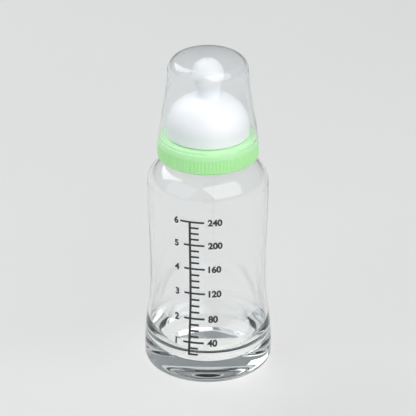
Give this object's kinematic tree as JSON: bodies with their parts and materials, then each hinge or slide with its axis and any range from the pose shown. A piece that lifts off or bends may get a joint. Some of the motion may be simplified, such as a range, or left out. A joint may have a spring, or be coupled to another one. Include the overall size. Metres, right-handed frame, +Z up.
{
  "type": "baby bottle",
  "caption": "Clear waisted glass feeding bottle with a printed scale, a green screw ring, a white silicone teat with a ball tip and a clear dome cap.",
  "frame": {"origin": "middle of the foot, on the plane that the bottle stands on", "axes": "+Z up along the bottle's axis, from foot to cap; -Y is the side with the printed scale"},
  "size_m": [0.0686, 0.0686, 0.1814],
  "materials": {
    "clear_glass": "polished, colourless, with a dark printed scale",
    "green_plastic": "moulded, satin",
    "white_silicone": "smooth, soft, slightly translucent",
    "clear_plastic": "moulded, clear, glossy",
    "dark_ink": "screen-printed, baked on"
  },
  "bodies": {
    "bottle": {"bottle_body": "clear_glass"},
    "teat": {"teat": "white_silicone"},
    "ring": {"screw_ring": "green_plastic"},
    "cap": {"dome_cap": "clear_plastic"}
  },
  "joints": [
    {"name": "teat_rise", "type": "slide", "parent": "bottle", "child": "teat", "axis": [0, 0, 1], "range_m": [0, 0.0098]},
    {"name": "ring_turn", "type": "hinge", "parent": "teat", "child": "ring", "pos_m": [0, 0, 0.128], "axis": [0, 0, 1], "range_deg": [0, 840]},
    {"name": "cap_lift", "type": "slide", "parent": "ring", "child": "cap", "axis": [0, 0, 1], "range_m": [0, 0.055]}
  ],
  "couplings": [
    {"joint": "teat_rise", "follows": "ring_turn", "m_per_rad": 0.00066845}
  ]
}
